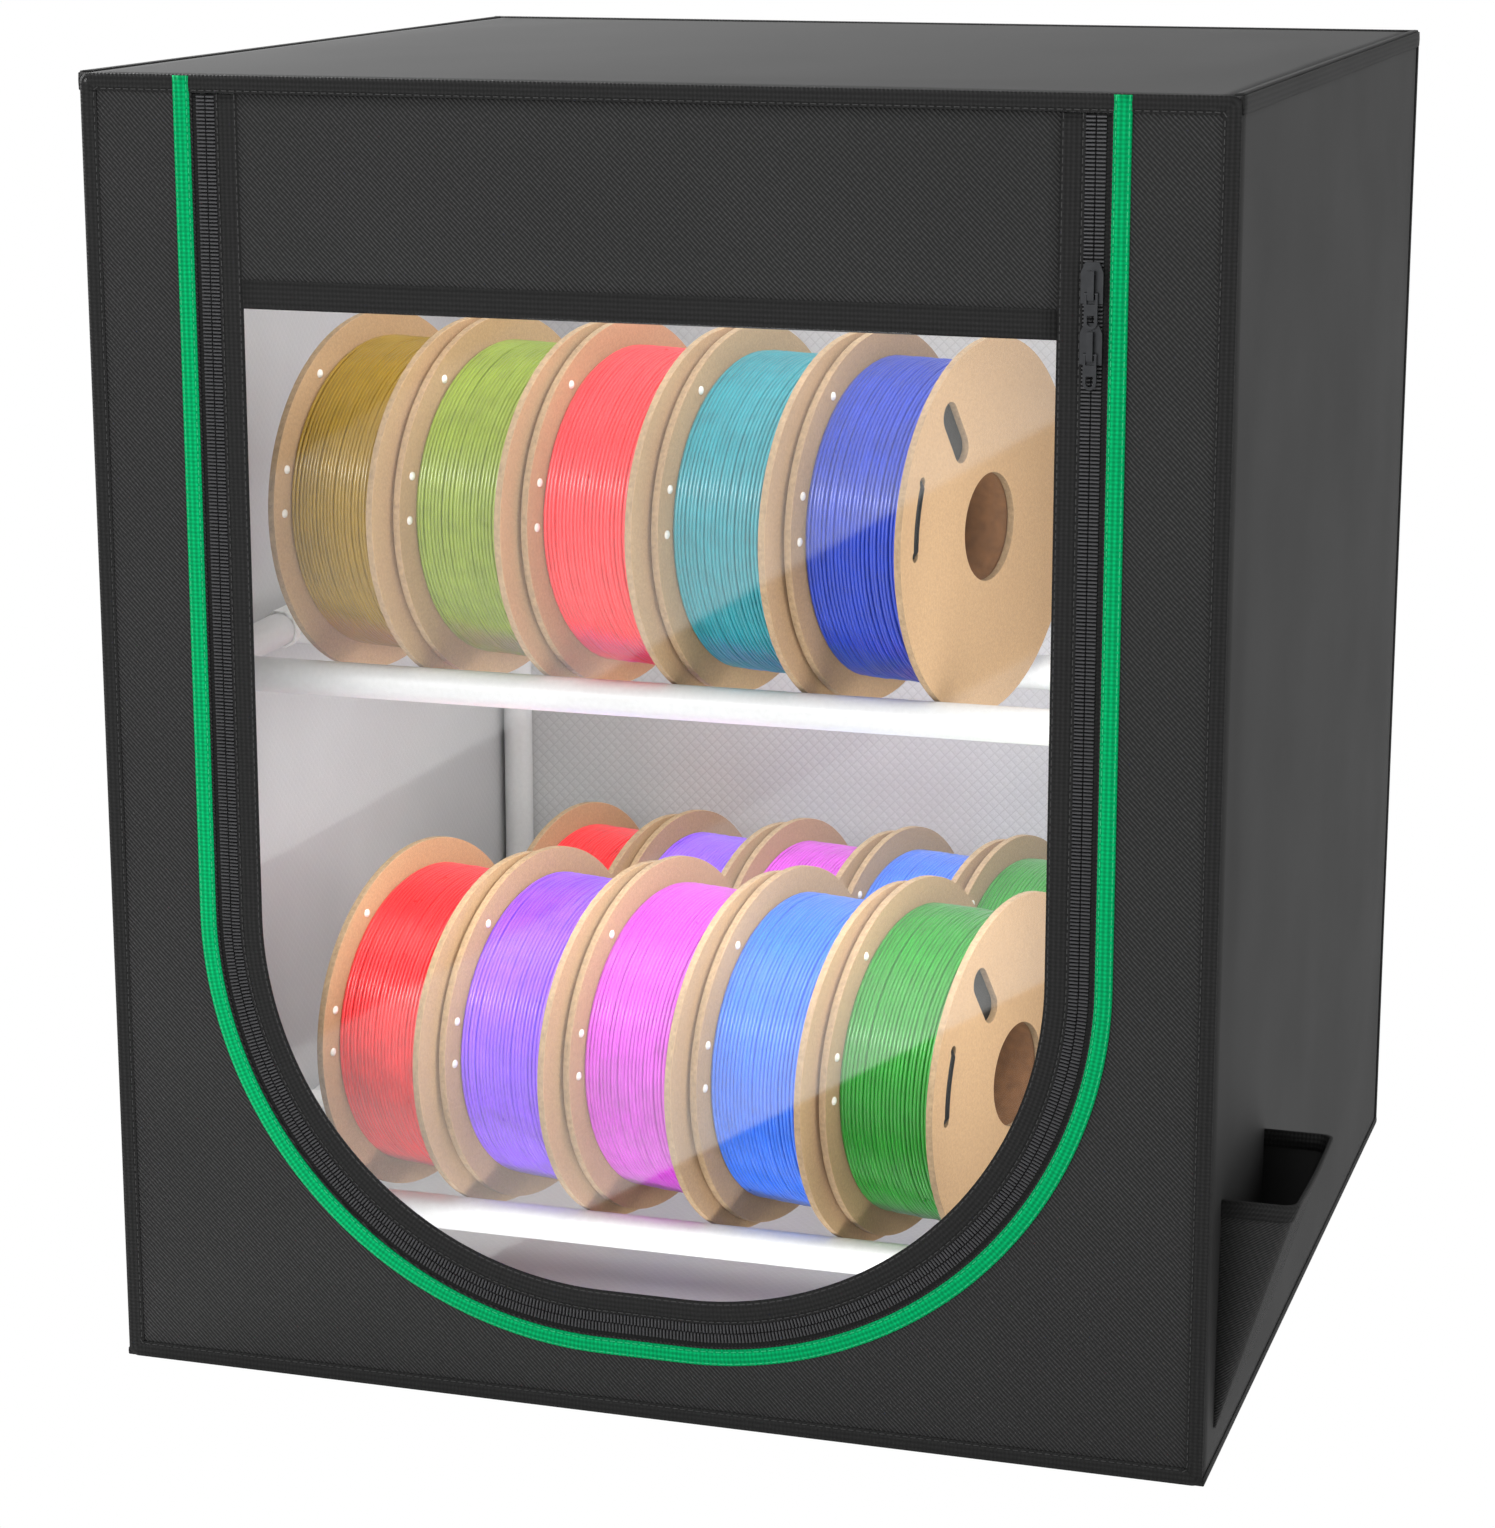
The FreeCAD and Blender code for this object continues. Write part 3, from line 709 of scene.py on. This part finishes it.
teeth = {"pitch": 0.0019, "length": 0.0046, "radius": 0.00066, "outerRow": 0.2332, "innerRow": 0.2279,
         "y": -0.2998, "top": 0.689}
for rowName, half, body, node in (("zipTeethSurround", teeth["outerRow"], "frame", "zip_chain_surround"),
                                  ("zipTeethDoor", teeth["innerRow"], "door", "zip_chain_door")):
    row = barRow(rowName, uPath(half, teeth["top"], 0.003), teeth["y"], teeth, 0.0, teethGrey)
    settle(row, body, "zip_teeth", node)
stitch = {"pitch": 0.0042, "length": 0.0028, "radius": 0.00028, "step": 0.004, "inset": 0.0078}
webTop, borderTop = h - 0.002, teeth["top"]
bindingLine = roundedRectangle(w - stitch["inset"], stitch["inset"], h - stitch["inset"], 0.001)
stitchRows = [
    ("bindingStitches", bindingLine, -0.3012, "frame", threadBlack, True),
    ("webbingStitchesOuter", uPath(0.2468, webTop, stitch["step"]), -0.3016, "frame", threadGreen, False),
    ("webbingStitchesInner", uPath(0.2402, webTop, stitch["step"]), -0.3016, "frame", threadGreen, False),
    ("borderStitches", uPath(0.2145, borderTop, stitch["step"]), -0.3000, "door", threadBlack, False),
    ("borderStitchesOuter", uPath(0.2242, borderTop, stitch["step"]), -0.3000, "door", threadBlack, False)]
for rowName, path, y, body, material, closed in stitchRows:
    settle(barRow(rowName, path, y, stitch, 1.0, material, closed), body, "tape")
print("zip and stitches")

# side pocket: a lofted bag, open at the top, with a hem
pocket = {"front": -0.273, "back": -0.156, "base": 0.021, "top": 0.145, "seam": 0.0012, "reach": 0.0395,
          "round": 0.006, "bow": 0.0035, "levels": 18, "cloth": 0.001}
pocketHeight = pocket["top"] - pocket["base"]


def pocketSection(t, grow=0.0):
    front, back = pocket["front"], pocket["back"]
    reach = pocket["seam"] + (pocket["reach"] - pocket["seam"]) * t + grow
    radius = min(pocket["round"], reach * 0.5)

    def corner(start, y):
        turns = [math.radians(start - 15 * i) for i in range(7)]
        x = w + reach - radius
        return [Vector((x + radius * math.cos(t), y + radius * math.sin(t), 0)) for t in turns]

    points = [Vector((w, back + grow, 0))] + corner(90, back - radius + grow)
    for i in range(1, 12):
        v = i / 12
        bow = pocket["bow"] * math.sin(math.pi * v) * t * (1 - 0.75 * t)
        points.append(Vector((w + reach + bow, back - radius + (front - back + 2 * radius) * v, 0)))
    return points + corner(0, front + radius - grow) + [Vector((w, front - grow, 0))]


def loftRows(rows):
    verts, uvs = [], []
    for section, z, mark in rows:
        run = 0.0
        for i, point in enumerate(section):
            run += (point - section[i - 1]).length if i else 0
            verts.append(Vector((point.x, point.y, z)))
            uvs.append((run, mark))
    return verts, uvs


sectionSize = len(pocketSection(1))


def buildPocket():
    rows = []
    for level in range(pocket["levels"] + 1):
        t = level / pocket["levels"]
        z = pocket["base"] + pocketHeight * t
        rows.append((pocketSection(t), z, z))
    verts, uvs = loftRows(rows)
    faces = gridFaces(sectionSize - 1, pocket["levels"], True)
    piece = makeObject("sidePocket", verts, faces, [frontCloth], uvs)
    if sum(face.normal.x for face in piece.data.polygons) < 0:
        piece.data.flip_normals()
    return piece


pocketHemLevels = ((0.0003, -0.009), (0.0009, -0.0085), (0.0010, -0.0012), (0.0004, 0.0002),
                   (-0.0014, 0.0002), (-0.0016, -0.009))  # how far out, how far up


def buildPocketHem():
    verts, uvs = loftRows([(pocketSection(1 + drop / pocketHeight, grow), pocket["top"] + drop, drop)
                           for grow, drop in pocketHemLevels])
    count, size = len(pocketHemLevels), sectionSize
    faces = []
    for level in range(count):
        a, b = level * size, (level + 1) % count * size
        faces += [(a + i, b + i, b + i + 1, a + i + 1) for i in range(size - 1)]
    for end in (0, size - 1):
        faces.append(tuple(level * size + end for level in range(count)))
    piece = makeObject("pocketHem", verts, faces, [tapeCloth], uvs)
    faceOutward(piece)
    return piece


sidePocket = buildPocket()
thicken(sidePocket, pocket["cloth"], sideCloth)
settle(sidePocket, "frame", "cover_cloth", "side_pocket")
settle(buildPocketHem(), "frame", "cover_cloth")
print("pocket")

# frame tubes, fittings and zip metal keep their CAD shapes
for nodeName, obj in frame["nodes"].items():
    finish = None
    if nodeName.startswith(("post_", "base_rails", "top_rails")):
        finish = tubeWhite
    elif nodeName.endswith(("side_rails", "cradle_tubes")):
        finish = tubeWhite
    elif nodeName.endswith(("fittings", "tees")):
        finish = fittingWhite
    elif nodeName.startswith(("zip_slider", "zip_pull")):
        finish = gunMetal
    if finish is not None:
        obj.data.materials.clear()
        obj.data.materials.append(finish)

# spools: card reel, core and winding, built about Z and then turned into place
reel = {"radius": 0.100, "width": 0.068, "card": 0.004, "edge": 0.0003, "bore": 0.029, "core": 0.0325,
        "winding": 0.086, "wire": 0.00115, "bedDepth": 0.0017, "askew": 13}
slot = {"angle": 216, "near": 0.057, "far": 0.079, "radius": 0.0082, "hidden": 130}
clip = {"angle": 259, "span": 13, "ring": 0.084, "hole": 0.0032, "wire": 0.0019, "rise": 0.0022,
        "sunk": 0.0024, "steps": 12, "sides": 8}
rivet = {"angles": (270, 255, 218, 90, 75), "ring": 0.0905,
         "profile": [(0.0, -0.0006), (0.0024, -0.0006), (0.0023, 0.0004), (0.0014, 0.0010), (0.0, 0.0012)]}


def polar(radius, degrees):
    return radius * math.cos(math.radians(degrees)), radius * math.sin(math.radians(degrees))


# a card disc drawn as a curve with its holes, then filled and given its thickness
def cardDisc(slotted):
    curve = bpy.data.curves.new("cardDisc", "CURVE")
    curve.dimensions = "2D"
    curve.fill_mode = "BOTH"
    curve.extrude = reel["card"] / 2 - reel["edge"]
    curve.bevel_depth = reel["edge"]
    curve.resolution_u = 1

    def circle(x, y, radius, count):
        turns = [2 * math.pi * i / count for i in range(count)]
        addLoop(curve, [(x + radius * math.cos(t), y + radius * math.sin(t), 0) for t in turns], True)

    circle(0, 0, reel["radius"] - reel["edge"], 96)
    circle(0, 0, reel["bore"], 48)
    if slotted:
        way = Matrix.Rotation(math.radians(slot["angle"]), 3, "Z")
        outline = []
        for centre, start in ((slot["near"], 90), (slot["far"], -90)):
            for degrees in range(start, start + 181, 20):
                x, y = polar(slot["radius"], degrees)
                outline.append(way @ Vector((centre + x, y, 0)))
        addLoop(curve, outline, True)
        for sign in (-1, 1):
            circle(*polar(clip["ring"], clip["angle"] + sign * clip["span"]), clip["hole"], 16)
    mesh = plainMesh(addObject("cardDisc", curve))
    for material in (cardFace, cardRim):
        mesh.materials.append(material)
    for face in mesh.polygons:
        face.material_index = 1 if abs(face.normal.z) < 0.5 else 0
    return mesh


# a wire wound in close turns, with a slow streaky wobble
def windingTree():
    tree, ins, outs = geometryTree("filamentWinding", ("Radius", "Width", "Turns", "Wire", "Seed"))
    spiral = addNode(tree, "GeometryNodeCurveSpiral")
    spiral.inputs["Resolution"].default_value = 64
    for source, target in (("Turns", "Rotations"), ("Radius", "Start Radius"), ("Radius", "End Radius"),
                           ("Width", "Height")):
        link(tree, ins.outputs[source], spiral.inputs[target])

    def vectorMath(operation, vector, values):
        node = addNode(tree, "ShaderNodeVectorMath", operation=operation)
        link(tree, vector, node.inputs[0])
        node.inputs[1].default_value = values
        return node.outputs[0]

    wobble = addNode(tree, "ShaderNodeTexNoise", noise_dimensions="4D")
    wobble.inputs["Scale"].default_value = 1
    place = addNode(tree, "GeometryNodeInputPosition")
    link(tree, vectorMath("MULTIPLY", place.outputs[0], (9, 9, 420)), wobble.inputs["Vector"])
    link(tree, ins.outputs["Seed"], wobble.inputs["W"])
    centred = vectorMath("SUBTRACT", wobble.outputs["Color"], (0.5, 0.5, 0.5))
    move = addNode(tree, "GeometryNodeSetPosition")
    link(tree, spiral.outputs[0], move.inputs["Geometry"])
    link(tree, vectorMath("MULTIPLY", centred, (0.0016, 0.0016, 0.0018)), move.inputs["Offset"])
    ring = addNode(tree, "GeometryNodeCurvePrimitiveCircle")
    ring.inputs["Resolution"].default_value = 6
    link(tree, ins.outputs["Wire"], ring.inputs["Radius"])
    tube = addNode(tree, "GeometryNodeCurveToMesh")
    link(tree, move.outputs[0], tube.inputs["Curve"])
    link(tree, ring.outputs[0], tube.inputs["Profile Curve"])
    smooth = addNode(tree, "GeometryNodeSetShadeSmooth")
    link(tree, tube.outputs[0], smooth.inputs[0])
    return endTree(tree, ins, outs, smooth.outputs[0])


discMeshes = {-1: cardDisc(False), 1: cardDisc(True)}
filamentWinding = windingTree()


def lathe(name, profile, count, materials, smooth=True):
    verts, faces = [], []
    size = len(profile)
    for i in range(count):
        angle = 2 * math.pi * i / count
        verts += [Vector((r * math.cos(angle), r * math.sin(angle), z)) for r, z in profile]
        a, b = i * size, (i + 1) % count * size
        faces += [(a + k, b + k, b + (k + 1) % size, a + (k + 1) % size) for k in range(size)]
    return makeObject(name, verts, faces, materials, None, smooth)


def squareRing(inner, outer, half):
    return [(inner, -half), (outer, -half), (outer, half), (inner, half)]


def joinInto(name, pieces):
    merged = bmesh.new()
    materials = []
    for piece, matrix in pieces:
        start = len(merged.faces)
        merged.from_mesh(piece.data)
        merged.faces.ensure_lookup_table()
        fresh = merged.faces[start:]
        for vert in {v for face in fresh for v in face.verts}:
            vert.co = matrix @ vert.co
        for face in fresh:
            material = piece.data.materials[face.material_index]
            if material not in materials:
                materials.append(material)
            face.material_index = materials.index(material)
        bpy.data.objects.remove(piece)
    bmesh.ops.recalc_face_normals(merged, faces=merged.faces)
    mesh = bpy.data.meshes.new(name)
    merged.to_mesh(mesh)
    merged.free()
    for material in materials:
        mesh.materials.append(material)
    return addObject(name, mesh)


# a bent wire between its two holes, on the outer face
def wireClip(height):
    steps, sides = clip["steps"], clip["sides"]
    points = []
    for i in range(steps + 1):
        t = i / steps
        lift = height + clip["rise"] * min(1, 4 * math.sin(math.pi * t)) - clip["sunk"]
        points.append(Vector((*polar(clip["ring"], clip["angle"] + clip["span"] * (2 * t - 1)), lift)))
    verts, faces = [], []
    for i, point in enumerate(points):
        along = (points[min(i + 1, steps)] - points[max(i - 1, 0)]).normalized()
        side = along.cross(zAxis).normalized()
        rise = side.cross(along)
        for k in range(sides):
            turn = k * 2 * math.pi / sides
            verts.append(point + clip["wire"] * (side * math.cos(turn) + rise * math.sin(turn)))
    for i in range(steps):
        a, b = i * sides, (i + 1) * sides
        faces += [(a + k, a + (k + 1) % sides, b + (k + 1) % sides, b + k) for k in range(sides)]
    faces += [tuple(range(sides)), tuple(range(steps * sides, (steps + 1) * sides))]
    return makeObject("clip", verts, faces, [clipBlackAndPaintedShade])


def buildReel(name, turned):
    half = reel["width"] / 2
    pieces = []
    for sign in (-1, 1):
        seat = Matrix.Translation((0, 0, sign * (half - reel["card"] / 2)))
        pieces.append((addObject("disc", discMeshes[sign].copy()), seat @ turned))
        flip = Matrix.Rotation(math.pi if sign > 0 else 0, 4, "X")  # rivet heads face the winding
        for angle in rivet["angles"]:
            spot = Vector((*polar(rivet["ring"], angle), sign * (half - reel["card"])))
            head = lathe("rivet", rivet["profile"], 14, [rivetWhite])
            pieces.append((head, Matrix.Translation(spot) @ flip))
    pieces.append((wireClip(half), turned))
    core = lathe("core", squareRing(reel["bore"] + 0.0004, reel["core"], half - 0.001), 64, [coreBrown])
    pieces.append((core, Matrix.Identity(4)))
    return joinInto(name, pieces)


# a bed of filament under the turns; its side faces are painted shade, near-black like the clip, for the
# shadow seen through the reel's slot
def buildBed(name, filament):
    half = reel["width"] / 2 - reel["card"] - 0.0001
    profile = squareRing(reel["core"], reel["winding"] - reel["bedDepth"], half)
    bed = lathe(name, profile, 96, [filament, clipBlackAndPaintedShade], smooth=False)
    # the side faces take the near-black as painted shade
    for face in bed.data.polygons:
        face.material_index = 1 if abs(face.normal.z) > 0.5 else 0
    return bed


def buildWinding(name, filament, seed):
    width = reel["width"] - 2 * reel["card"] - 2 * reel["wire"] - 0.0004
    carrier = addObject("carrier", bpy.data.meshes.new("carrier"))
    winding = runTree(filamentWinding, carrier, name,
                      {"Radius": reel["winding"] - reel["wire"], "Width": width, "Wire": reel["wire"],
                       "Turns": width / (2 * reel["wire"]), "Seed": float(seed), "Material": filament})
    winding.data.transform(Matrix.Translation((0, 0, -width / 2)))
    return winding


filamentColours = {"upper": ("9a7a10", "84992c", "f0303a", "0f8e9a", "0a38b4"),
                   "lower": ("f02830", "8a4cf0", "c83ccc", "2a70e6", "128a1c")}
filaments = {}
for tier, colours in filamentColours.items():
    for number, hexColour in enumerate(colours, 1):
        slotName = f"filament_{tier}_{number}"
        filaments[slotName] = plainMaterial(slotName, hexColour, 0.32, grainScale=90, coat=0.8)
joints = {joint["child"]: joint for joint in record["behaviour"]["joints"]}
slots = {part["node"]: part["material_slot"] for part in record["subparts"]}
lying = Matrix.Rotation(math.radians(-reel["askew"]), 4, "Z") @ Matrix.Rotation(math.radians(90), 4, "Y")
spoolNames = sorted(name for name in frame["nodes"] if name.startswith("spool_"))
for index, spoolName in enumerate(spoolNames):
    place = Matrix.Translation(joints[spoolName]["pos_m"]) @ lying
    filament = filaments[slots[spoolName]]
    turn = 0 if spoolName.endswith("5") else slot["hidden"]  # only a row's last reel shows its slot
    bed = buildBed("windingBed_" + spoolName, filament)
    reelPiece = buildReel("reel_" + spoolName, Matrix.Rotation(math.radians(turn), 4, "Z"))
    winding = buildWinding("winding_" + spoolName, filament, index)
    for piece in (reelPiece, bed, winding):
        piece.data.transform(place)
        settle(piece, spoolName, slots[spoolName])
    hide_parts(spoolName)
print("spools", len(spoolNames))

# stage, light and camera
studio = {"position": (0.6263, -2.1366, 0.8250), "azimuth": 17.206, "elevation": 13.557, "focal": 92.15,
          "floorHalf": 8, "floorZ": -0.0005, "floorTone": 0.88, "fillLight": 0.55}
camera = bpy.data.cameras.new("camera")
camera.sensor_fit = "VERTICAL"
camera.sensor_height = 36
camera.lens = studio["focal"]
viewer = addObject("camera", camera)


def aimed(position, direction):
    return Matrix.Translation(position) @ direction.to_track_quat("-Z", "Y").to_matrix().to_4x4()


azimuth, elevation = math.radians(studio["azimuth"]), math.radians(studio["elevation"])
level = math.cos(elevation)
forward = Vector((-math.sin(azimuth) * level, math.cos(azimuth) * level, -math.sin(elevation)))
viewer.matrix_world = aimed(studio["position"], forward)
bpy.context.scene.camera = viewer


def raysToEye(tree):
    rays = addNode(tree, "ShaderNodeLightPath")
    through = mathNode(tree, "MAXIMUM", rays.outputs["Is Glossy Ray"], rays.outputs["Is Transmission Ray"])
    return mathNode(tree, "MAXIMUM", rays.outputs["Is Camera Ray"], through)


def buildFloor():
    material, tree, shader = newMaterial("studioFloor")
    shader.inputs["Base Color"].default_value = (*(studio["floorTone"],) * 3, 1)
    shader.inputs["Roughness"].default_value = 0.9
    glow = addNode(tree, "ShaderNodeEmission")
    mix = addNode(tree, "ShaderNodeMixShader")
    link(tree, raysToEye(tree), mix.inputs[0])
    link(tree, shader.outputs[0], mix.inputs[1])
    link(tree, glow.outputs[0], mix.inputs[2])
    link(tree, mix.outputs[0], tree.nodes["Material Output"].inputs["Surface"])
    reach = studio["floorHalf"]
    corners = ((-reach, -reach), (reach, -reach), (reach, reach), (-reach, reach))
    verts = [(x, y, studio["floorZ"]) for x, y in corners]
    return makeObject("studioFloor", verts, [(0, 1, 2, 3)], [material])


buildFloor()

# lamps: place, target, size and power; those inside the box are seen by nothing but what they light
lamps = {
    "frontFill": ((-0.6, -3.0, 1.2), (0, 0, 0.35), (1.8, 1.8), 12, False),
    "sheenStrip": ((-0.2, -2.0, 1.15), (0, -0.2, 0.35), (1.6, 0.14), 17, False),
    "ceilingGlow": ((0, 0.03, 0.685), (0, 0.03, 0), (0.44, 0.44), 1.5, True),
    "middleGlow": ((0, 0.0, 0.355), (0, 0.0, 0), (0.44, 0.30), 0.66, True),
    "wallGlow": ((0, 0.20, 0.355), (0, 0.30, 0.27), (0.44, 0.04), 0.22, True),
    "upperGlow": ((0, -0.262, 0.645), (0, -0.12, 0.42), (0.40, 0.04), 0.35, True),
    "lowerGlow": ((0, -0.262, 0.340), (0, -0.12, 0.12), (0.40, 0.04), 0.62, True),
    "baseGlow": ((0, -0.272, 0.05), (0, 0.1, 0.0), (0.34, 0.02), 0.22, True),
    "cardGlow": ((0.275, -0.262, 0.35), (0.14, -0.15, 0.35), (0.04, 0.5), 0.52, True),
    "topKey": ((-1.6, 0.35, 1.5), (0, 0, 0.6), (1.0, 1.0), 135, False),
    "rightFill": ((2.6, -0.4, 1.2), (0.2, 0, 0.35), (1.4, 1.4), 20, False)}
for lampName, (position, target, size, power, inside) in lamps.items():
    lamp = bpy.data.lights.new(lampName, "AREA")
    lamp.shape = "RECTANGLE"
    lamp.size, lamp.size_y = size
    lamp.energy = power
    softbox = addObject(lampName, lamp)
    softbox.matrix_world = aimed(position, Vector(target) - Vector(position))
    softbox.visible_camera = softbox.visible_glossy = not inside

world = bpy.data.worlds.new("studioWorld")
bpy.context.scene.world = world
world.use_nodes = True
background = world.node_tree.nodes["Background"]
background.inputs["Color"].default_value = (1, 1, 1, 1)
fillLight = studio["fillLight"]
strength = scaled(world.node_tree, raysToEye(world.node_tree), 1 - fillLight, fillLight)
link(world.node_tree, strength, background.inputs["Strength"])
bpy.context.scene.view_settings.view_transform = "Standard"
print("studio")
